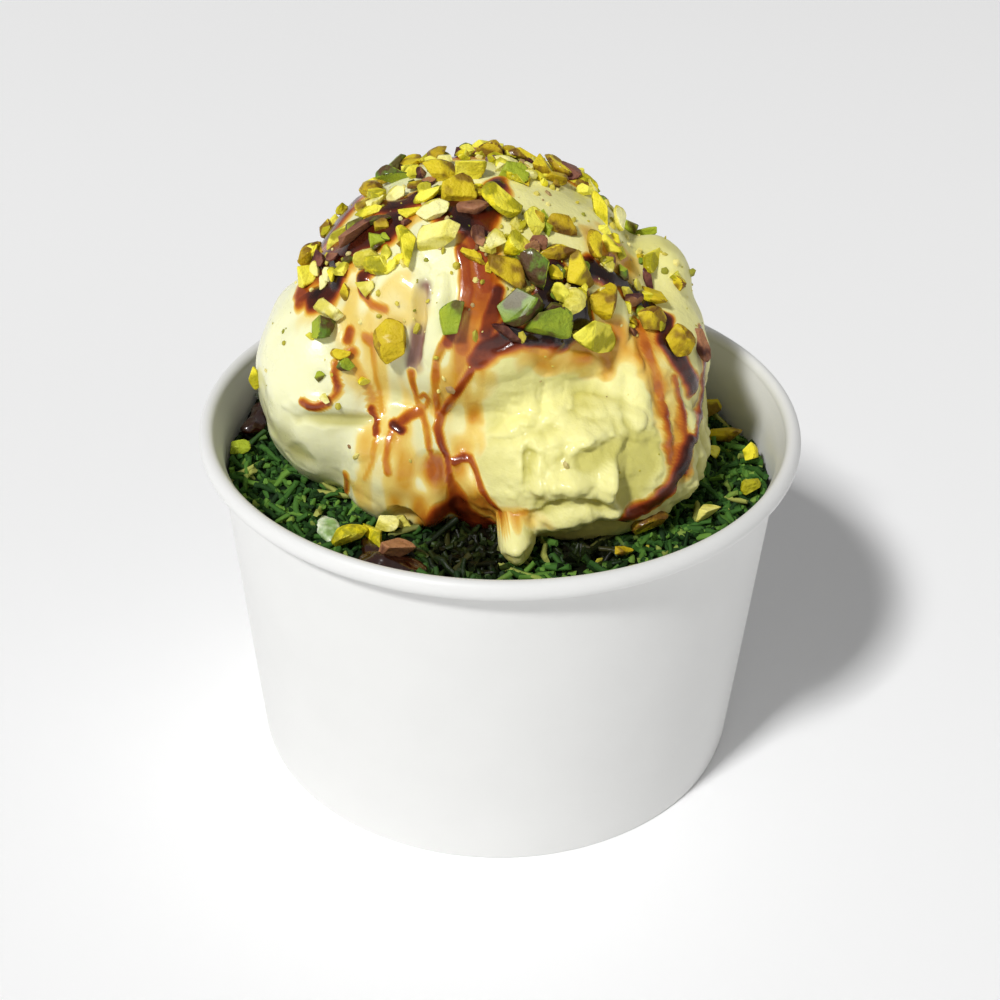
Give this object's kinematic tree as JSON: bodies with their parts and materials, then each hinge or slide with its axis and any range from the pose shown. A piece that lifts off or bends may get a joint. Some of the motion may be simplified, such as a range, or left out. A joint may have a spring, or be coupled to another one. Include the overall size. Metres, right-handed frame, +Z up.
{
  "type": "gelato cup",
  "caption": "Open paper cup filled with green shredded pastry and a mound of pistachio gelato under syrup and chopped nuts.",
  "frame": {"origin": "centre of the ring on the cup's underside that it stands on, on the resting plane", "axes": "+Z up the cup's axis, -Y towards the side that the picture shows, +X to its right"},
  "size_m": [0.096, 0.096, 0.0984],
  "materials": {
    "paper_cup": "white board with a thin satin coating",
    "kataifi_bed": "dull green baked pastry shreds",
    "gelato_mound": "soft moist sheen, glossy where it melts",
    "sauce_pool": "wet gloss"
  },
  "bodies": {
    "root": {"paper_cup": "paper_cup", "kataifi_bed": "kataifi_bed", "gelato_mound": "gelato_mound", "sauce_pool": "sauce_pool"}
  },
  "joints": []
}
